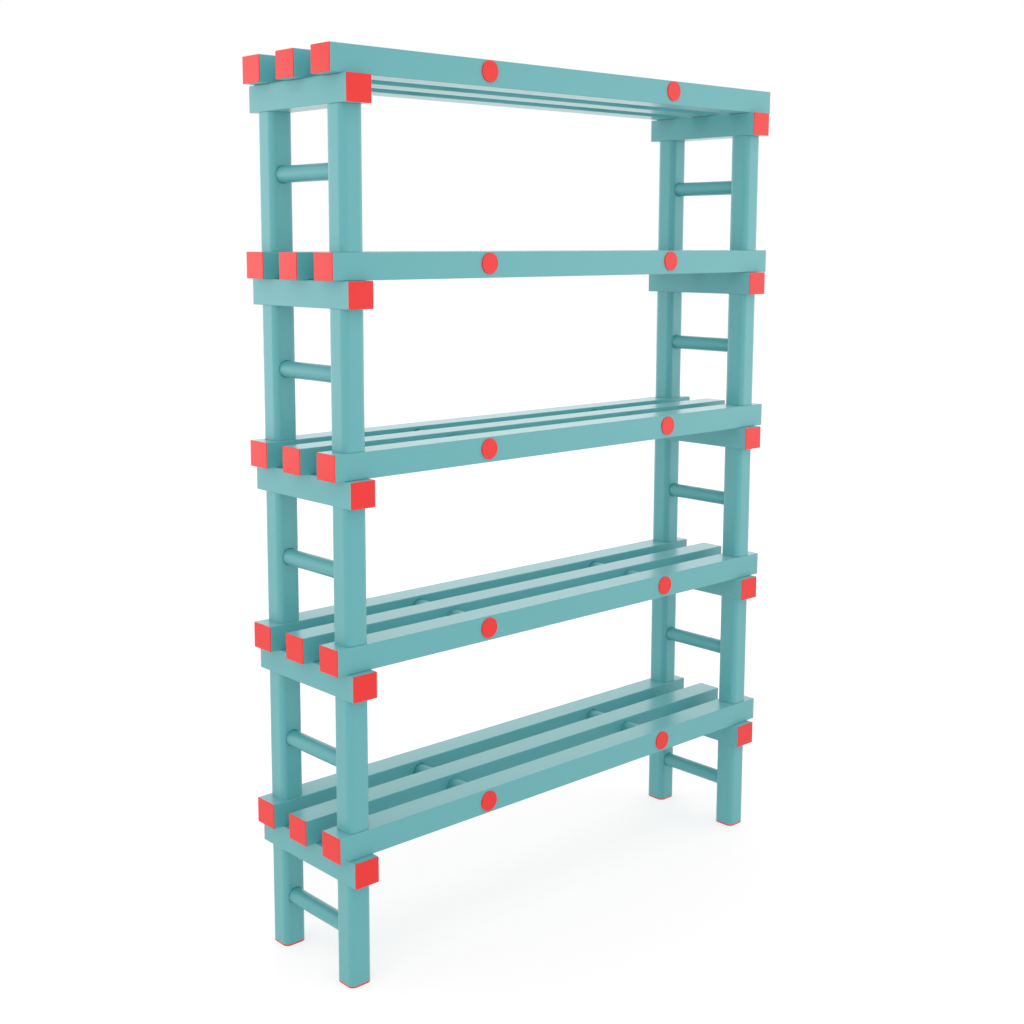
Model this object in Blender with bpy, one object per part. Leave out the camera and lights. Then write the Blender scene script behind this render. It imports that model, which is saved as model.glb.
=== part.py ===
# Plastic shelving unit: five slatted tiers on round-cornered posts, with red plugs in every open end.
# Metres, +Z up, front towards -Y. The origin is on the floor, under the middle of the unit.

import bpy
import bmesh
from math import cos, pi, radians, sin
from mathutils import Matrix, Vector

# Driving dimensions.
TIER_COUNT = 5
SLAT_LENGTH = 1.500
SLAT_WIDTH = 0.0673
SLAT_HEIGHT = 0.0605
SLAT_GAP = 0.0647
BEAM_WIDTH = 0.066
BEAM_HEIGHT = 0.0605
BEAM_OVERHANG = 0.0196
BEAM_INSET = 0.0288
POST_SIZE = 0.060
POST_CORNER_RADIUS = 0.015
POST_LENGTH = 0.3121
LEG_LENGTH = 0.2449
LEG_RUNG_HEIGHT = 0.1210
POST_RUNG_HEIGHT = 0.1503
RUNG_STEP = 0.0077
RUNG_DIAMETER = 0.0385
TIE_DIAMETER = 0.040
TIE_FROM_LEFT_END = 0.4502
TIE_SPACING = 0.6411
TIE_STEP = 0.0011
PROFILE_WALL = 0.003
TUBE_WALL = 0.003
SOCKET_DEPTH = 0.009
CAP_THICKNESS = 0.002
PLUG_DIAMETER = 0.0498
PLUG_THICKNESS = 0.003
PLUG_EDGE = 0.0008
FOOT_THICKNESS = 0.0037
SPIGOT_LENGTH = 0.020
SPIGOT_WALL = 0.002
BEAM_PORT_DIAMETER = 0.020
EDGE_RADIUS = 0.0012

# Clearance left between pieces that touch.
FIT = 0.0003

# Facets of the round shapes.
CORNER_STEPS = 3
EDGE_STEPS = 1
TUBE_STEPS = 16
PLUG_STEPS = 20
PORT_STEPS = 8
SMOOTH_ANGLE = radians(35)

# Values worked out from the driving dimensions.
SLAT_PITCH = SLAT_WIDTH + SLAT_GAP
SLAT_ROWS = {"front": -SLAT_PITCH, "middle": 0.0, "rear": SLAT_PITCH}
DECK_DEPTH = 2 * SLAT_PITCH + SLAT_WIDTH
BEAM_LENGTH = DECK_DEPTH + 2 * BEAM_OVERHANG
BEAM_X = SLAT_LENGTH / 2 - BEAM_INSET - BEAM_WIDTH / 2
SIDES = {"left": -BEAM_X, "right": BEAM_X}
POST_ROWS = {"front": -SLAT_PITCH, "rear": SLAT_PITCH}
TIE_LEFT_X = TIE_FROM_LEFT_END - SLAT_LENGTH / 2
TIE_PLACES = (TIE_LEFT_X, TIE_LEFT_X + TIE_SPACING)
LET_IN = PROFILE_WALL + SOCKET_DEPTH
RUNG_LENGTH = 2 * SLAT_PITCH - POST_SIZE + 2 * LET_IN
LEG_Z = FOOT_THICKNESS + FIT
FIRST_BEAM_Z = LEG_Z + LEG_LENGTH + FIT
SLAT_ABOVE_BEAM = BEAM_HEIGHT + FIT
TIER_PITCH = SLAT_ABOVE_BEAM + SLAT_HEIGHT + FIT + POST_LENGTH + FIT

TEAL, RED = 0, 1


def make_material(name, colour, roughness):
    material = bpy.data.materials.new(name)
    material.use_nodes = True
    shader = material.node_tree.nodes["Principled BSDF"]
    shader.inputs["Base Color"].default_value = (*colour, 1.0)
    shader.inputs["Roughness"].default_value = roughness
    shader.inputs["Metallic"].default_value = 0.0
    return material


def rounded_rectangle(width, height, radius, steps):
    points = []
    for quarter, (side_u, side_v) in enumerate(((1, 1), (-1, 1), (-1, -1), (1, -1))):
        centre_u = side_u * (width / 2 - radius)
        centre_v = side_v * (height / 2 - radius)
        for step in range(steps + 1):
            angle = (quarter + step / steps) * pi / 2
            points.append((centre_u + radius * cos(angle), centre_v + radius * sin(angle)))
    return points


def circle(radius, steps):
    return [(radius * cos(2 * pi * i / steps), radius * sin(2 * pi * i / steps)) for i in range(steps)]


def along_x(u, v, t):
    return (t, u, v)


def along_y(u, v, t):
    return (-u, t, v)


def along_z(u, v, t):
    return (u, v, t)


def new_object(name, bm):
    mesh = bpy.data.meshes.new(name)
    bmesh.ops.recalc_face_normals(bm, faces=bm.faces)
    bm.to_mesh(mesh)
    bm.free()
    for material in (teal_plastic, red_plastic):
        mesh.materials.append(material)
    solid = bpy.data.objects.new(name, mesh)
    bpy.context.collection.objects.link(solid)
    return solid


# A solid bar: one profile, or one for each station, swept along an axis; ends and spans can be coloured.
def bar(name, axis, profiles, stations, spans=None, ends=(TEAL, TEAL)):
    bm = bmesh.new()
    if not isinstance(profiles[0], list):
        profiles = [profiles] * len(stations)
    spans = spans or [TEAL] * (len(stations) - 1)
    rings = []
    for profile, t in zip(profiles, stations):
        rings.append([bm.verts.new(axis(u, v, t)) for u, v in profile])
    for first, second, colour in zip(rings, rings[1:], spans):
        for i in range(len(first)):
            j = (i + 1) % len(first)
            face = bm.faces.new((first[i], first[j], second[j], second[i]))
            face.material_index = colour
    for end, colour in ((rings[0], ends[0]), (rings[-1], ends[1])):
        bm.faces.new(end).material_index = colour
    return new_object(name, bm)


# Adds or cuts one solid with another and keeps only the result.
def combine(solid, tool, operation):
    modifier = solid.modifiers.new(operation, "BOOLEAN")
    modifier.operation = operation
    modifier.solver = "EXACT"
    modifier.object = tool
    evaluated = solid.evaluated_get(bpy.context.evaluated_depsgraph_get())
    result = bpy.data.meshes.new_from_object(evaluated)
    solid.modifiers.clear()
    solid.data = result
    bpy.data.objects.remove(tool)


def shift(tool, x=0.0, y=0.0, z=0.0):
    tool.data.transform(Matrix.Translation(Vector((x, y, z))))
    return tool


def round_bar(name, axis, diameter, start, end, steps):
    return bar(name, axis, circle(diameter / 2, steps), (start, end))


# A box profile with a wall all round and a red cap closing each end.
def capped_box(name, axis, width, height, length):
    half = length / 2
    inside = half - CAP_THICKNESS
    outline = rounded_rectangle(width, height, EDGE_RADIUS, EDGE_STEPS)
    solid = bar(name, axis, outline, (-half, -inside, inside, half), (RED, TEAL, RED), (RED, RED))
    bore_width = width - 2 * PROFILE_WALL
    bore_height = height - 2 * PROFILE_WALL
    bore = ((-1, -1), (1, -1), (1, 1), (-1, 1))
    bore = [(u * bore_width / 2, v * bore_height / 2) for u, v in bore]
    combine(solid, bar("bore", axis, bore, (-inside, inside)), "DIFFERENCE")
    return solid


# The disc plug that covers a tie's end, with an eased rim, proud of the face at the given side.
def plug(side):
    face = SLAT_WIDTH / 2
    root = face - PROFILE_WALL / 2
    rim = face + PLUG_THICKNESS - PLUG_EDGE
    tip = face + PLUG_THICKNESS
    radius = PLUG_DIAMETER / 2
    profiles = [circle(radius, PLUG_STEPS)] * 2 + [circle(radius - PLUG_EDGE, PLUG_STEPS)]
    stations = [side * t for t in (root, rim, tip)]
    return bar("plug", along_y, profiles, stations, (RED, RED), (RED, RED))


# Front and rear slats: sockets for the ties in the inner wall, and a plug on the outer face.
def outer_slat(name, side, tie_z):
    solid = capped_box(name, along_x, SLAT_WIDTH, SLAT_HEIGHT, SLAT_LENGTH)
    shift(solid, z=SLAT_HEIGHT / 2)
    for x in TIE_PLACES:
        socket_size = TIE_DIAMETER + 2 * FIT
        socket = round_bar("socket", along_y, socket_size, 0.0, -side * SLAT_WIDTH, TUBE_STEPS)
        combine(solid, shift(socket, x, z=tie_z), "DIFFERENCE")
        combine(solid, shift(plug(side), x, z=tie_z), "UNION")
    return solid


# The middle slat carries the two tie tubes, which reach into the sockets of its neighbours.
def middle_slat(name, tie_z):
    solid = capped_box(name, along_x, SLAT_WIDTH, SLAT_HEIGHT, SLAT_LENGTH)
    shift(solid, z=SLAT_HEIGHT / 2)
    root = SLAT_WIDTH / 2 - PROFILE_WALL / 2
    tip = SLAT_WIDTH / 2 + SLAT_GAP + LET_IN
    tie_bore = TIE_DIAMETER - 2 * TUBE_WALL
    for x in TIE_PLACES:
        for side in (-1, 1):
            tube = round_bar("tie", along_y, TIE_DIAMETER, side * root, side * tip, TUBE_STEPS)
            combine(solid, shift(tube, x, z=tie_z), "UNION")
        bore = round_bar("bore", along_y, tie_bore, -2 * tip, 2 * tip, TUBE_STEPS)
        combine(solid, shift(bore, x, z=tie_z), "DIFFERENCE")
    return solid


# A beam's hollow opens downwards into the posts below it.
def crossbeam(name):
    solid = capped_box(name, along_y, BEAM_WIDTH, BEAM_HEIGHT, BEAM_LENGTH)
    shift(solid, z=BEAM_HEIGHT / 2)
    for y in POST_ROWS.values():
        reach = BEAM_HEIGHT / 2
        port = round_bar("port", along_z, BEAM_PORT_DIAMETER, -reach, reach, PORT_STEPS)
        combine(solid, shift(port, y=y), "DIFFERENCE")
    return solid


# A round-cornered tube, open at both ends, with a socket for the rung in its +Y face.
def post(name, length, rung_z):
    bore_size = POST_SIZE - 2 * PROFILE_WALL
    bore_radius = POST_CORNER_RADIUS - PROFILE_WALL
    outline = rounded_rectangle(POST_SIZE, POST_SIZE, POST_CORNER_RADIUS, CORNER_STEPS)
    bore = rounded_rectangle(bore_size, bore_size, bore_radius, CORNER_STEPS)
    solid = bar(name, along_z, outline, (0.0, length))
    combine(solid, bar("bore", along_z, bore, (-length, 2 * length)), "DIFFERENCE")
    socket_size = RUNG_DIAMETER + 2 * FIT
    socket = round_bar("socket", along_y, socket_size, 0.0, POST_SIZE, TUBE_STEPS)
    combine(solid, shift(socket, z=rung_z), "DIFFERENCE")
    return solid


def rung(name):
    half = RUNG_LENGTH / 2
    bore_size = RUNG_DIAMETER - 2 * TUBE_WALL
    solid = round_bar(name, along_y, RUNG_DIAMETER, -half, half, TUBE_STEPS)
    bore = round_bar("bore", along_y, bore_size, -RUNG_LENGTH, RUNG_LENGTH, TUBE_STEPS)
    combine(solid, bore, "DIFFERENCE")
    return solid


# A red sole plate with a hollow spigot that plugs into the bottom of a leg.
def foot_cap(name):
    outline = rounded_rectangle(POST_SIZE, POST_SIZE, POST_CORNER_RADIUS, CORNER_STEPS)
    spigot_inset = PROFILE_WALL + FIT
    top = FOOT_THICKNESS + SPIGOT_LENGTH
    solid = bar(name, along_z, outline, (0.0, FOOT_THICKNESS), (RED,), (RED, RED))
    for inset, low, high, operation in (
        (spigot_inset, FOOT_THICKNESS / 2, top, "UNION"),
        (spigot_inset + SPIGOT_WALL, FOOT_THICKNESS, 2 * top, "DIFFERENCE"),
    ):
        size = POST_SIZE - 2 * inset
        outline = rounded_rectangle(size, size, POST_CORNER_RADIUS - inset, CORNER_STEPS)
        tool = bar("spigot", along_z, outline, (low, high), (RED,), (RED, RED))
        combine(solid, tool, operation)
    return solid


# Places one copy of a pattern piece under its tier.
def place(pattern, name, tier, location, turn=0.0):
    copy = bpy.data.objects.new(name, pattern.data)
    bpy.context.collection.objects.link(copy)
    copy.parent = tier
    copy.location = location
    copy.rotation_euler.z = turn


def tier_frame(name, height):
    frame = bpy.data.objects.new(name, None)
    bpy.context.collection.objects.link(frame)
    frame.location.z = height
    return frame


# The ties sit a step higher in the slats of each next tier.
def tie_height(number):
    return SLAT_HEIGHT / 2 + (number - 1) * TIE_STEP


# From the second tier up, the rungs sit a step higher in the posts of each next tier.
def rung_height(number):
    return LEG_RUNG_HEIGHT if number == 1 else POST_RUNG_HEIGHT + (number - 2) * RUNG_STEP


def upright_length(number):
    return LEG_LENGTH if number == 1 else POST_LENGTH


# Slats and posts differ from tier to tier by the height of their sockets.
def tier_patterns(number):
    tie_z = tie_height(number)
    return {
        "slat_front": outer_slat("slat_front", -1, tie_z),
        "slat_middle": middle_slat("slat_middle", tie_z),
        "slat_rear": outer_slat("slat_rear", 1, tie_z),
        "post": post("post", upright_length(number), rung_height(number)),
    }


def build_tier(number, patterns):
    name = f"tier{number}"
    frame = tier_frame(name, FIRST_BEAM_Z + (number - 1) * TIER_PITCH)
    for row, y in SLAT_ROWS.items():
        place(patterns["slat_" + row], f"{name}_slat_{row}", frame, (0, y, SLAT_ABOVE_BEAM))
    base = -FIT - upright_length(number)
    for side, x in SIDES.items():
        place(patterns["crossbeam"], f"{name}_crossbeam_{side}", frame, (x, 0, 0))
        place(patterns["rung"], f"{name}_rung_{side}", frame, (x, 0, base + rung_height(number)))
        for row, y in POST_ROWS.items():
            turn = 0.0 if row == "front" else pi
            corner = f"{row}_{side}"
            place(patterns["post"], f"{name}_post_{corner}", frame, (x, y, base), turn)
            if number == 1:
                foot_z = base - FIT - FOOT_THICKNESS
                place(patterns["foot_cap"], f"foot_cap_{corner}", frame, (x, y, foot_z))


def smooth(patterns):
    for pattern in patterns.values():
        pattern.data.shade_smooth()
        pattern.data.set_sharp_from_angle(angle=SMOOTH_ANGLE)
    return patterns


def discard(patterns):
    for pattern in patterns.values():
        bpy.data.objects.remove(pattern)


for old in list(bpy.data.objects):
    bpy.data.objects.remove(old)

teal_plastic = make_material("teal_plastic", (0.17, 0.45, 0.47), 0.42)
red_plastic = make_material("red_plastic", (0.87, 0.065, 0.065), 0.40)

SHARED = smooth({
    "crossbeam": crossbeam("crossbeam"),
    "rung": rung("rung"),
    "foot_cap": foot_cap("foot_cap"),
})

for number in range(1, TIER_COUNT + 1):
    own = smooth(tier_patterns(number))
    build_tier(number, {**SHARED, **own})
    discard(own)

discard(SHARED)
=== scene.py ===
import bmesh
import bpy
from math import cos, pi, radians, sin
from mathutils import Matrix, Vector


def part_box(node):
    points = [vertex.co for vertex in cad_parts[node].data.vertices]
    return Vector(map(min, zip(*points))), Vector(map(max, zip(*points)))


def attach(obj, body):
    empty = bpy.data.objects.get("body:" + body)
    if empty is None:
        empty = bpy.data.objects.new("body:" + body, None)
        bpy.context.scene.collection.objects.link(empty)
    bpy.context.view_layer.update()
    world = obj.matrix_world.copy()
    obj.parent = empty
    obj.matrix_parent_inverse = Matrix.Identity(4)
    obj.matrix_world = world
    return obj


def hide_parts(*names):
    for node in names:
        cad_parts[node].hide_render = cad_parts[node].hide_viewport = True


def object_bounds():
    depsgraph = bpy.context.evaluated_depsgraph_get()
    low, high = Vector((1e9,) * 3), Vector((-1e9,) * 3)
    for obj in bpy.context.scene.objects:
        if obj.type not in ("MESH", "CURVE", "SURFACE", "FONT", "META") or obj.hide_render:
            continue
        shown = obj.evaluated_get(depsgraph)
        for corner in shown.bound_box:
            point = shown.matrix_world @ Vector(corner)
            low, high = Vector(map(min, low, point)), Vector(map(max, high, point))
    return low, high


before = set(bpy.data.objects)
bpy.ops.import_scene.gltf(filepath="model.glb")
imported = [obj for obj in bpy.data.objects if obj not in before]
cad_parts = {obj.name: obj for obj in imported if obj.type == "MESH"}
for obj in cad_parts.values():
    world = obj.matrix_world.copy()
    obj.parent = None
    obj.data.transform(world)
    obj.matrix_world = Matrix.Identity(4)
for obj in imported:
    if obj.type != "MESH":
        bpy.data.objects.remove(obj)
cadLow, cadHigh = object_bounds()
scene = bpy.context.scene
tiers = sorted({name.split("_")[0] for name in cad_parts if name.startswith("tier")})
rows = ("front", "rear")
sides = ("left", "right")
print("frame loaded:", len(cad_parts), "nodes in", len(tiers), "tiers")


# ways of working, shared by every piece

def deselectAll():
    bpy.ops.object.select_all(action="DESELECT")


def makeActive(piece):
    deselectAll()
    piece.select_set(True)
    bpy.context.view_layer.objects.active = piece


def nameStart(name):
    piece = bpy.context.active_object
    piece.name = name
    piece.data.name = name
    bpy.ops.object.transform_apply(location=True, rotation=True, scale=True)  # place goes into the mesh
    return piece


def boxStart(name, low, high):
    deselectAll()
    bpy.ops.mesh.primitive_cube_add(size=1, location=(low + high) / 2, scale=high - low)
    return nameStart(name)


def roundStart(name, centre, radius, length, sideCount, filled):
    deselectAll()
    bpy.ops.mesh.primitive_cylinder_add(
        vertices=sideCount, radius=radius, depth=length, location=centre,
        end_fill_type="NGON" if filled else "NOTHING", rotation=(pi / 2, 0, 0))  # lies along Y
    return nameStart(name)


def pick(piece, kind, test):
    makeActive(piece)
    bpy.ops.object.mode_set(mode="EDIT")
    bpy.ops.mesh.select_mode(type=kind)
    bpy.ops.mesh.select_all(action="DESELECT")
    mesh = bmesh.from_edit_mesh(piece.data)
    mesh.normal_update()
    items = mesh.faces if kind == "FACE" else mesh.edges
    for item in items:
        if test(item):
            item.select_set(True)
    mesh.select_flush_mode()
    bmesh.update_edit_mesh(piece.data)


def leaveEdit():
    bpy.ops.object.mode_set(mode="OBJECT")


pickLimits = {"straight": 0.99, "level": 1e-5, "rim": 1e-4}  # how closely a face or edge has to fit


def facing(axis, sign=0):
    def test(face):
        lean = face.normal[axis]
        return (abs(lean) if sign == 0 else lean * sign) > pickLimits["straight"]
    return test


def runsAlong(axis):
    def test(edge):
        span = edge.verts[1].co - edge.verts[0].co
        return abs(span[axis]) > pickLimits["straight"] * span.length
    return test


def liesAt(edge, axis, place):
    return all(abs(vert.co[axis] - place) < pickLimits["level"] for vert in edge.verts)


def roundEdges(piece, test, radius, steps):
    pick(piece, "EDGE", test)
    bpy.ops.mesh.bevel(offset=radius, offset_type="OFFSET", segments=steps, affect="EDGES",
                       clamp_overlap=False)
    leaveEdit()


def useModifier(piece, kind, **settings):
    makeActive(piece)
    modifier = piece.modifiers.new(kind.title(), kind)
    for key, value in settings.items():
        setattr(modifier, key, value)
    bpy.ops.object.modifier_apply(modifier=modifier.name)


def drill(piece, cutter):
    useModifier(piece, "BOOLEAN", operation="DIFFERENCE", solver="EXACT", object=cutter)
    bpy.data.objects.remove(cutter)


def openTube(name, low, high, axis, cornerRadius, cornerSteps, wall):
    tube = boxStart(name, low, high)
    pick(tube, "FACE", facing(axis))
    bpy.ops.mesh.delete(type="FACE")
    leaveEdit()
    roundEdges(tube, runsAlong(axis), cornerRadius, cornerSteps)
    useModifier(tube, "SOLIDIFY", thickness=wall, offset=-1, use_even_offset=True)
    return tube


def alongAxis(axis, distance):
    step = Vector((0, 0, 0))
    step[axis] = distance
    return step


# a flat plate over a tube's end, with a hollow spigot behind it; outward is the side that shows
def endCap(name, low, high, axis, outward, look):
    cap = boxStart(name, low, high)
    face = high[axis] if outward > 0 else low[axis]
    back = low[axis] if outward > 0 else high[axis]

    def isCorner(edge):
        ends = sorted(vert.co[axis] for vert in edge.verts)
        onPlate = all(abs(end - side) < pickLimits["level"]
                      for end, side in zip(ends, sorted((face, back))))
        return onPlate and runsAlong(axis)(edge)

    def onRim(edge):
        return liesAt(edge, axis, face)

    wideCorners = look["cornerRadius"] > look["tubeWall"]
    if wideCorners:  # the spigot follows the round corners
        roundEdges(cap, isCorner, look["cornerRadius"], look["cornerSteps"])
    pick(cap, "FACE", facing(axis, -outward))
    bpy.ops.mesh.inset(thickness=look["tubeWall"] + look["clearance"])
    bpy.ops.mesh.extrude_region_move(
        TRANSFORM_OT_translate={"value": alongAxis(axis, -outward * look["spigotDepth"])})
    bpy.ops.mesh.inset(thickness=look["spigotWall"])
    bpy.ops.mesh.extrude_region_move(
        TRANSFORM_OT_translate={"value": alongAxis(axis, outward * look["spigotDepth"])})
    leaveEdit()
    if not wideCorners:
        roundEdges(cap, isCorner, look["cornerRadius"], look["cornerSteps"])
    roundEdges(cap, onRim, look["rimRadius"], look["rimSteps"])
    return cap


def copyPiece(piece, name, move):
    makeActive(piece)
    bpy.ops.object.duplicate(linked=False)
    copy = bpy.context.active_object
    copy.name = name
    copy.data.name = name
    copy.data.transform(Matrix.Translation(Vector(move)))
    return copy


def joinPieces(name, pieces):
    deselectAll()
    for piece in pieces:
        piece.select_set(True)
    bpy.context.view_layer.objects.active = pieces[0]
    bpy.ops.object.join()
    pieces[0].name = name
    pieces[0].data.name = name
    return pieces[0]


edgeLook = {"flatLean": 0.97, "widestStrip": 0.001, "smoothAngle": radians(32), "flatWeight": 50}


# strips of the small rounded edges carry 1 for the rubbed look, flats and big rounds carry 0
def markEdges(piece):
    mesh = piece.data
    marks = mesh.attributes.new("rubbedEdge", "FLOAT", "FACE")
    for face in mesh.polygons:
        slants = max(abs(part) for part in face.normal) < edgeLook["flatLean"]
        corners = [mesh.vertices[index].co for index in face.vertices]
        longest = max((corner - corners[place - 1]).length for place, corner in enumerate(corners))
        narrow = face.area < edgeLook["widestStrip"] * longest
        marks.data[face.index].value = 1.0 if slants and narrow else 0.0


def finishPiece(piece, material, nodes):
    piece.data.materials.clear()
    piece.data.materials.append(material)
    makeActive(piece)
    bpy.ops.object.shade_smooth_by_angle(angle=edgeLook["smoothAngle"])
    useModifier(piece, "WEIGHTED_NORMAL", mode="FACE_AREA", weight=edgeLook["flatWeight"],
                keep_sharp=True)  # flats stay flat
    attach(piece, "root")
    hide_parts(*nodes)


# finishes

def addNode(tree, kind, place, **settings):
    node = tree.nodes.new(kind)
    node.location = place
    for key, value in settings.items():
        setattr(node, key, value)
    return node


def plasticFinish(name, look, grain):
    material = bpy.data.materials.new(name)
    material.use_nodes = True
    tree = material.node_tree
    link = tree.links.new
    shader = tree.nodes["Principled BSDF"]
    shader.inputs["Metallic"].default_value = 0.0
    shader.inputs["IOR"].default_value = look["ior"]
    shader.inputs["Sheen Weight"].default_value = look["sheen"]
    shader.inputs["Sheen Roughness"].default_value = look["sheenRough"]
    place = addNode(tree, "ShaderNodeTexCoord", (-1300, 0))

    # slow clouding of the colour through the plastic
    cloud = addNode(tree, "ShaderNodeTexNoise", (-1000, 300))
    cloud.inputs["Scale"].default_value = look["cloudScale"]
    cloud.inputs["Detail"].default_value = look["cloudDetail"]
    link(place.outputs["Object"], cloud.inputs["Vector"])
    tint = addNode(tree, "ShaderNodeMix", (-700, 300), data_type="RGBA")
    tint.inputs["A"].default_value = (*look["colour"], 1)
    tint.inputs["B"].default_value = (*look["cloudColour"], 1)
    link(cloud.outputs["Fac"], tint.inputs["Factor"])

    # paler, rubbed edges, broken up by a finer noise
    edge = addNode(tree, "ShaderNodeAttribute", (-1000, 600), attribute_name="rubbedEdge")
    scuff = addNode(tree, "ShaderNodeTexNoise", (-1000, 800))
    scuff.inputs["Scale"].default_value = look["scuffScale"]
    link(place.outputs["Object"], scuff.inputs["Vector"])
    rub = addNode(tree, "ShaderNodeMath", (-700, 700), operation="MULTIPLY")
    link(edge.outputs["Fac"], rub.inputs[0])
    link(scuff.outputs["Fac"], rub.inputs[1])
    worn = addNode(tree, "ShaderNodeMix", (-400, 400), data_type="RGBA")
    worn.inputs["B"].default_value = (*look["edgeColour"], 1)
    link(rub.outputs[0], worn.inputs["Factor"])
    link(tint.outputs["Result"], worn.inputs["A"])
    link(worn.outputs["Result"], shader.inputs["Base Color"])

    # drawn lines along the profile, and a fine pebble over them
    stretch = addNode(tree, "ShaderNodeMapping", (-1000, -100))
    stretch.inputs["Scale"].default_value = grain
    link(place.outputs["Object"], stretch.inputs["Vector"])
    drawn = addNode(tree, "ShaderNodeTexNoise", (-800, -100))
    drawn.inputs["Scale"].default_value = look["grainScale"]
    drawn.inputs["Detail"].default_value = look["grainDetail"]
    link(stretch.outputs["Vector"], drawn.inputs["Vector"])
    pebble = addNode(tree, "ShaderNodeTexNoise", (-800, -400))
    pebble.inputs["Scale"].default_value = look["pebbleScale"]
    link(place.outputs["Object"], pebble.inputs["Vector"])
    shine = addNode(tree, "ShaderNodeMapRange", (-400, 0))
    shine.inputs["To Min"].default_value = look["roughLow"]
    shine.inputs["To Max"].default_value = look["roughHigh"]
    link(drawn.outputs["Fac"], shine.inputs["Value"])
    link(shine.outputs["Result"], shader.inputs["Roughness"])
    both = addNode(tree, "ShaderNodeMath", (-600, -250), operation="ADD")
    link(drawn.outputs["Fac"], both.inputs[0])
    link(pebble.outputs["Fac"], both.inputs[1])
    bump = addNode(tree, "ShaderNodeBump", (-300, -250))
    bump.inputs["Strength"].default_value = look["bumpStrength"]
    bump.inputs["Distance"].default_value = look["bumpDepth"]
    link(both.outputs[0], bump.inputs["Height"])
    link(bump.outputs["Normal"], shader.inputs["Normal"])
    return material


tealLook = {
    "colour": (0.117, 0.445, 0.468), "cloudColour": (0.122, 0.455, 0.478),
    "edgeColour": (0.15, 0.48, 0.50), "ior": 1.49, "sheen": 0.16, "sheenRough": 0.6,
    "roughLow": 0.26, "roughHigh": 0.34, "cloudScale": 2.2, "cloudDetail": 3.0, "scuffScale": 60.0,
    "grainScale": 3.0, "grainDetail": 4.0, "pebbleScale": 1400.0,
    "bumpStrength": 0.04, "bumpDepth": 0.0003,
}
# the round tubes carry painted shade: their colour is a shade deeper than the box profiles' to darken
# them, and they are less glossy
tubePaintedShadeLook = {**tealLook, "colour": (0.118, 0.424, 0.445), "cloudColour": (0.123, 0.434, 0.455),
            "ior": 1.42, "sheen": 0.0, "roughLow": 0.28, "roughHigh": 0.36}
redLook = {
    "colour": (0.925, 0.0208, 0.0173), "cloudColour": (0.935, 0.0228, 0.0193),
    "edgeColour": (0.94, 0.05, 0.04), "ior": 1.44, "sheen": 0.04, "sheenRough": 0.5,
    "roughLow": 0.20, "roughHigh": 0.28, "cloudScale": 14.0, "cloudDetail": 3.0, "scuffScale": 120.0,
    "grainScale": 60.0, "grainDetail": 4.0, "pebbleScale": 1800.0,
    "bumpStrength": 0.04, "bumpDepth": 0.0002,
}
grainAlong = {0: (1, 90, 90), 1: (90, 1, 90), 2: (90, 90, 1)}  # stretched along X, Y or Z
tealAlong = {axis: plasticFinish("tealPlastic" + "XYZ"[axis], tealLook, grain)
             for axis, grain in grainAlong.items()}
# tube finish with painted shade: a deeper teal that darkens the rungs and tie tubes
tealTubePaintedShade = plasticFinish("tealTubePaintedShade", tubePaintedShadeLook, grainAlong[1])
redMoulded = plasticFinish("redMoulded", redLook, (1, 1, 1))
print("finishes made")


# slats, the lengthwise box profiles of a shelf

slat = {"width": 0.0673, "wall": 0.003, "edgeRadius": 0.0016, "edgeSteps": 4, "capThickness": 0.002}
tie = {"count": 2, "fromLeftEnd": 0.4502, "spacing": 0.6411, "step": 0.0011, "radius": 0.020,
       "wall": 0.003, "sideCount": 72,
       "clearance": {"front": 0.0003, "middle": 0.0003, "rear": 0.0012}}  # a dark gap shows at the rear
plug = {"radius": 0.0249, "proud": 0.003, "rimRadius": 0.0008, "rimSteps": 4, "sideCount": 96}
firstSlatLow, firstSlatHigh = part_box("tier1_slat_middle")
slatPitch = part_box("tier1_slat_rear")[1].y - plug["proud"] - slat["width"] / 2
slatRows = {"front": -slatPitch, "middle": 0.0, "rear": slatPitch}
tiePlaces = [firstSlatLow.x + tie["fromLeftEnd"] + step * tie["spacing"] for step in range(tie["count"])]


def tierRise(tier):
    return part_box(tier + "_slat_middle")[0].z - firstSlatLow.z


def tieHeight(tier):
    middle = (firstSlatLow.z + firstSlatHigh.z) / 2 + tierRise(tier)
    return middle + tiers.index(tier) * tie["step"]  # a step higher in each next tier


def slatBox(row, rise=0.0):
    inset = alongAxis(0, slat["capThickness"])
    across = Vector((0, slat["width"] / 2, 0))
    place = Vector((0, slatRows[row], rise))
    low = Vector((firstSlatLow.x, 0, firstSlatLow.z)) + inset - across + place
    high = Vector((firstSlatHigh.x, 0, firstSlatHigh.z)) - inset + across + place
    return low, high


def makeSlat(tier, row):
    low, high = slatBox(row, tierRise(tier))
    name = f"{tier}_slat_{row}"
    tube = openTube(name + "_tube", low, high, 0, slat["edgeRadius"], slat["edgeSteps"], slat["wall"])
    inward = {"front": 1, "middle": 0, "rear": -1}[row]
    for x in tiePlaces:
        hole = Vector((x, slatRows[row] + inward * slat["width"] / 2, tieHeight(tier)))
        length = slat["width"] if inward else 2 * slat["width"]
        radius = tie["radius"] + tie["clearance"][row]
        drill(tube, roundStart("hole", hole, radius, length, tie["sideCount"], True))
    markEdges(tube)
    finishPiece(tube, tealAlong[0], [name])


for tier in tiers:
    for row in slatRows:
        makeSlat(tier, row)
print("slats made")


# tie tubes through the slats, with a red disc plug over each end

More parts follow.
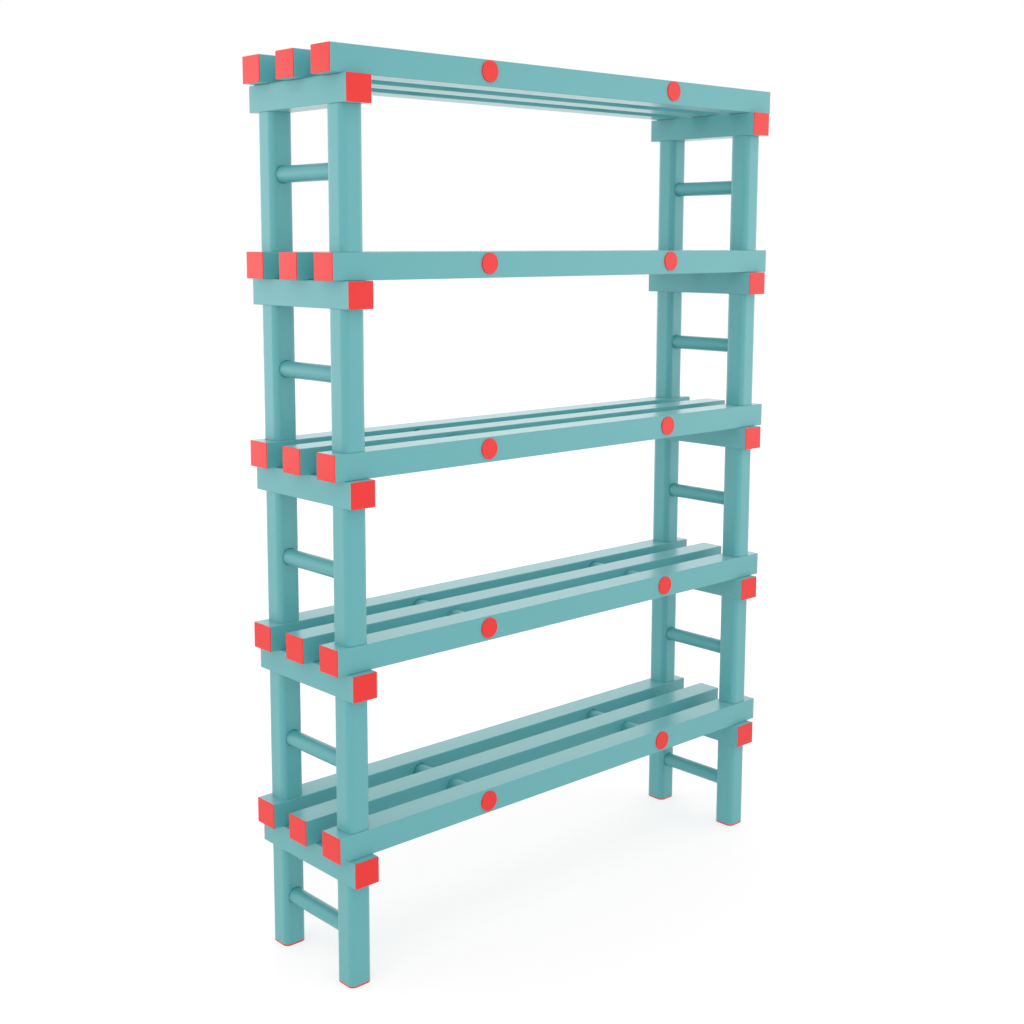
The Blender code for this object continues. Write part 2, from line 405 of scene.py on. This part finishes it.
def makePlug(row):
    outward = -1 if row == "front" else 1
    face = slatRows[row] + outward * slat["width"] / 2
    centre = Vector((tiePlaces[0], face + outward * plug["proud"] / 2, tieHeight(tiers[0])))
    disc = roundStart("plug_" + row, centre, plug["radius"], plug["proud"], plug["sideCount"], True)
    tip = face + outward * plug["proud"]

    def onRim(edge):
        reach = [(vert.co - centre).xz.length for vert in edge.verts]
        return liesAt(edge, 1, tip) and min(reach) > plug["radius"] - pickLimits["rim"]

    roundEdges(disc, onRim, plug["rimRadius"], plug["rimSteps"])
    return disc


tieLow, tieHigh = firstSlatLow.y, firstSlatHigh.y
tieMiddle = Vector((tiePlaces[0], (tieLow + tieHigh) / 2, tieHeight(tiers[0])))
tiePattern = roundStart("tie", tieMiddle, tie["radius"], tieHigh - tieLow, tie["sideCount"], False)
useModifier(tiePattern, "SOLIDIFY", thickness=tie["wall"], offset=-1, use_even_offset=True)
plugPatterns = [makePlug(row) for row in rows]
for pattern in [tiePattern, *plugPatterns]:
    markEdges(pattern)
for tier in tiers:
    rise = tieHeight(tier) - tieHeight(tiers[0])
    moves = [(step * tie["spacing"], 0, rise) for step in range(tie["count"])]
    tubes = [copyPiece(tiePattern, "part", move) for move in moves]
    ties = joinPieces(tier + "_tie_tubes", tubes)
    # the tie tubes get the finish with painted shade, a deeper teal
    finishPiece(ties, tealTubePaintedShade, [tier + "_slat_middle"])
    discs = [copyPiece(pattern, "part", move) for pattern in plugPatterns for move in moves]
    plugs = joinPieces(tier + "_tie_plugs", discs)
    finishPiece(plugs, redMoulded, [f"{tier}_slat_{row}" for row in rows])
for pattern in [tiePattern, *plugPatterns]:
    bpy.data.objects.remove(pattern)
print("ties and plugs made")


# crossbeams, front to back under the slats

beam = {"wall": 0.003, "edgeRadius": 0.0016, "edgeSteps": 4, "capThickness": 0.002}


def makeBeam(side):
    low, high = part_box("tier1_crossbeam_" + side)
    inset = alongAxis(1, beam["capThickness"])
    return openTube("beam", low + inset, high - inset, 1,
                    beam["edgeRadius"], beam["edgeSteps"], beam["wall"])


for side in sides:
    pattern = makeBeam(side)
    markEdges(pattern)
    for tier in tiers:
        piece = copyPiece(pattern, f"{tier}_crossbeam_{side}_tube", (0, 0, tierRise(tier)))
        finishPiece(piece, tealAlong[1], [f"{tier}_crossbeam_{side}"])
    bpy.data.objects.remove(pattern)
print("crossbeams made")


# red end caps of slats and crossbeams

capLook = {"cornerRadius": 0.0016, "cornerSteps": 4, "tubeWall": 0.003, "clearance": 0.0003,
           "spigotDepth": 0.015, "spigotWall": 0.002, "rimRadius": 0.0009, "rimSteps": 3}


def makeSlatCap(row, outward):
    low, high = slatBox(row)
    if outward < 0:
        low.x, high.x = low.x - slat["capThickness"], low.x
    else:
        low.x, high.x = high.x, high.x + slat["capThickness"]
    return endCap("cap", low, high, 0, outward, capLook)


def makeBeamCap(side, outward):
    low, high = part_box("tier1_crossbeam_" + side)
    if outward < 0:
        high.y = low.y + beam["capThickness"]
    else:
        low.y = high.y - beam["capThickness"]
    return endCap("cap", low, high, 1, outward, capLook)


slatCaps = [makeSlatCap(row, outward) for row in slatRows for outward in (-1, 1)]
beamCaps = [makeBeamCap(side, outward) for side in sides for outward in (-1, 1)]
for pattern in slatCaps + beamCaps:
    markEdges(pattern)
for tier in tiers:
    move = (0, 0, tierRise(tier))
    slatSet = joinPieces(tier + "_slat_caps", [copyPiece(cap, "part", move) for cap in slatCaps])
    finishPiece(slatSet, redMoulded, [f"{tier}_slat_{row}" for row in slatRows])
    beamSet = joinPieces(tier + "_crossbeam_caps", [copyPiece(cap, "part", move) for cap in beamCaps])
    finishPiece(beamSet, redMoulded, [f"{tier}_crossbeam_{side}" for side in sides])
for pattern in slatCaps + beamCaps:
    bpy.data.objects.remove(pattern)
print("end caps made")


# posts, with a socket for the rung in the inner face

post = {"cornerRadius": 0.015, "cornerSteps": 12, "wall": 0.003}
rung = {"sideCount": 72, "wall": 0.003,
        "clearance": {"front": 0.0003, "rear": 0.0009}}  # a dark gap shows at the rear


def makePost(tier, row):
    node = f"{tier}_post_{row}_left"
    low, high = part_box(node)
    tube = openTube(node + "_tube", low, high, 2,
                    post["cornerRadius"], post["cornerSteps"], post["wall"])
    rungLow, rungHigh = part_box(tier + "_rung_left")
    socket = (low + high) / 2
    socket.y = high.y if row == "front" else low.y  # the inner face
    socket.z = (rungLow.z + rungHigh.z) / 2
    radius = (rungHigh.z - rungLow.z) / 2 + rung["clearance"][row]
    drill(tube, roundStart("socket", socket, radius, high.y - low.y, rung["sideCount"], True))
    markEdges(tube)
    return tube


for tier in tiers:
    for row in rows:
        left = makePost(tier, row)
        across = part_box(f"{tier}_post_{row}_right")[0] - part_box(f"{tier}_post_{row}_left")[0]
        right = copyPiece(left, f"{tier}_post_{row}_right_tube", across)
        finishPiece(left, tealAlong[2], [f"{tier}_post_{row}_left"])
        finishPiece(right, tealAlong[2], [f"{tier}_post_{row}_right"])
print("posts made")


# rungs between the posts

rungLow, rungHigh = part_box("tier1_rung_left")
rungMiddle = (rungLow + rungHigh) / 2
rungPattern = roundStart("rung", rungMiddle, (rungHigh.z - rungLow.z) / 2, rungHigh.y - rungLow.y,
                         rung["sideCount"], False)
useModifier(rungPattern, "SOLIDIFY", thickness=rung["wall"], offset=-1, use_even_offset=True)
markEdges(rungPattern)
for tier in tiers:
    for side in sides:
        node = f"{tier}_rung_{side}"
        piece = copyPiece(rungPattern, node + "_tube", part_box(node)[0] - rungLow)
        # the rungs get the finish with painted shade, a deeper teal
        finishPiece(piece, tealTubePaintedShade, [node])
bpy.data.objects.remove(rungPattern)
print("rungs made")


# red foot caps under the legs

foot = {"plate": 0.0037, "cornerRadius": 0.015, "cornerSteps": 12, "tubeWall": 0.003,
        "clearance": 0.0003, "spigotDepth": 0.020, "spigotWall": 0.002,
        "rimRadius": 0.0008, "rimSteps": 3}
for row in rows:
    for side in sides:
        node = f"foot_cap_{row}_{side}"
        low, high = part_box(node)
        high.z = low.z + foot["plate"] + foot["clearance"]  # up against the leg
        piece = endCap(node + "_sole", low, high, 2, -1, foot)
        markEdges(piece)
        finishPiece(piece, redMoulded, [node])
print("foot caps made")


# floor, light and camera

# 1 for camera, mirror and see-through rays, 0 for soft light
def seenDirectly(tree):
    ray = addNode(tree, "ShaderNodeLightPath", (-900, 600))
    either = addNode(tree, "ShaderNodeMath", (-600, 600), operation="MAXIMUM")
    tree.links.new(ray.outputs["Is Camera Ray"], either.inputs[0])
    tree.links.new(ray.outputs["Is Glossy Ray"], either.inputs[1])
    direct = addNode(tree, "ShaderNodeMath", (-400, 600), operation="MAXIMUM")
    tree.links.new(either.outputs[0], direct.inputs[0])
    tree.links.new(ray.outputs["Is Transmission Ray"], direct.inputs[1])
    return direct.outputs[0]


floorLook = {"size": 30.0, "colour": (0.86, 0.86, 0.86),
             "seenGlow": 0.59, "seenColour": (0.558, 0.512, 0.510)}


def makeFloor():
    deselectAll()
    bpy.ops.mesh.primitive_plane_add(size=floorLook["size"], location=(0, 0, cadLow.z))
    floor = nameStart("studioFloor")
    material = bpy.data.materials.new("paleFloor")
    material.use_nodes = True
    tree = material.node_tree
    link = tree.links.new
    tree.nodes.remove(tree.nodes["Principled BSDF"])
    plain = addNode(tree, "ShaderNodeBsdfDiffuse", (-600, 0))
    plain.inputs["Color"].default_value = (*floorLook["colour"], 1)
    pale = addNode(tree, "ShaderNodeBsdfDiffuse", (-600, 200))
    pale.inputs["Color"].default_value = (*floorLook["seenColour"], 1)
    glow = addNode(tree, "ShaderNodeEmission", (-600, 350))
    glow.inputs["Color"].default_value = (*[floorLook["seenGlow"]] * 3, 1)
    white = addNode(tree, "ShaderNodeAddShader", (-400, 250))
    link(pale.outputs[0], white.inputs[0])
    link(glow.outputs[0], white.inputs[1])
    choice = addNode(tree, "ShaderNodeMixShader", (-200, 0))
    link(seenDirectly(tree), choice.inputs["Fac"])
    link(plain.outputs[0], choice.inputs[1])
    link(white.outputs[0], choice.inputs[2])
    link(choice.outputs[0], tree.nodes["Material Output"].inputs["Surface"])
    floor.data.materials.append(material)


skyLook = {"overhead": 0.965, "horizon": 0.15, "falloff": 4.0, "left": 0.07, "seen": 1.0}


# soft light, brighter towards the horizon and the left, behind a plain white backdrop
def makeSky():
    world = bpy.data.worlds.new("studioSky")
    scene.world = world
    world.use_nodes = True
    tree = world.node_tree
    link = tree.links.new
    white = tree.nodes["Background"]
    white.inputs["Color"].default_value = (1, 1, 1, 1)
    white.inputs["Strength"].default_value = skyLook["seen"]
    way = addNode(tree, "ShaderNodeTexCoord", (-1500, -200))
    parts = addNode(tree, "ShaderNodeSeparateXYZ", (-1300, -200))
    link(way.outputs["Generated"], parts.inputs[0])
    height = addNode(tree, "ShaderNodeMath", (-1100, -200), operation="ABSOLUTE")
    link(parts.outputs["Z"], height.inputs[0])
    level = addNode(tree, "ShaderNodeMath", (-900, -200), operation="SUBTRACT")
    level.inputs[0].default_value = 1.0
    link(height.outputs[0], level.inputs[1])
    band = addNode(tree, "ShaderNodeMath", (-700, -200), operation="POWER")
    link(level.outputs[0], band.inputs[0])
    band.inputs[1].default_value = skyLook["falloff"]
    total = addNode(tree, "ShaderNodeMath", (-500, -200), operation="MULTIPLY_ADD")
    link(band.outputs[0], total.inputs[0])
    total.inputs[1].default_value = skyLook["horizon"]
    total.inputs[2].default_value = skyLook["overhead"]
    lean = addNode(tree, "ShaderNodeMath", (-400, -400), operation="MULTIPLY_ADD")
    link(parts.outputs["X"], lean.inputs[0])
    lean.inputs[1].default_value = -skyLook["left"]
    link(total.outputs[0], lean.inputs[2])
    soft = addNode(tree, "ShaderNodeBackground", (-200, -200))
    soft.inputs["Color"].default_value = (1, 1, 1, 1)
    link(lean.outputs[0], soft.inputs["Strength"])
    choice = addNode(tree, "ShaderNodeMixShader", (0, 0))
    link(seenDirectly(tree), choice.inputs["Fac"])
    link(soft.outputs[0], choice.inputs[1])
    link(white.outputs[0], choice.inputs[2])
    link(choice.outputs[0], tree.nodes["World Output"].inputs["Surface"])


# large softboxes round the far half of the studio, that only show as gloss
softboxLook = {"distance": 7.0, "tall": 3.2, "boxes": {
    "softboxLeft": {"turn": 104.0, "height": 1.6, "wide": 7.6, "level": 1.4},
    "softboxBack": {"turn": 44.0, "height": 2.6, "wide": 6.0, "level": 0.65},
    "softboxRight": {"turn": -26.0, "height": 1.6, "wide": 8.2, "level": 0.88}}}


def makeSoftboxes():
    for name, box in softboxLook["boxes"].items():
        turn = radians(box["turn"])
        place = Vector((cos(turn), sin(turn), 0)) * softboxLook["distance"]
        place.z = box["height"]
        inward = (pi / 2, 0, turn + pi / 2)
        bpy.ops.object.light_add(type="AREA", location=place, rotation=inward)
        lamp = bpy.context.active_object
        lamp.name = name
        lamp.data.shape = "RECTANGLE"
        lamp.data.size, lamp.data.size_y = box["wide"], softboxLook["tall"]
        lamp.data.energy = box["level"] * pi * box["wide"] * softboxLook["tall"]
        lamp.visible_camera = False
        lamp.visible_diffuse = False


cameraLook = {"place": (-2.5320, -2.6195, 1.6908), "turn": -41.643, "tilt": -7.689, "lens": 49.835,
              "sensor": 36.0, "shift": (0.03767, -0.07517), "farthest": 100.0}


def makeCamera():
    aim = (pi / 2 + radians(cameraLook["tilt"]), 0, radians(cameraLook["turn"]))
    bpy.ops.object.camera_add(location=cameraLook["place"], rotation=aim)
    camera = bpy.context.active_object
    camera.data.lens = cameraLook["lens"]
    camera.data.sensor_width = cameraLook["sensor"]
    camera.data.shift_x, camera.data.shift_y = cameraLook["shift"]
    camera.data.clip_end = cameraLook["farthest"]
    scene.camera = camera


makeFloor()
makeSky()
makeSoftboxes()
makeCamera()
scene.view_settings.view_transform = "Standard"
print("floor, sky and camera made")
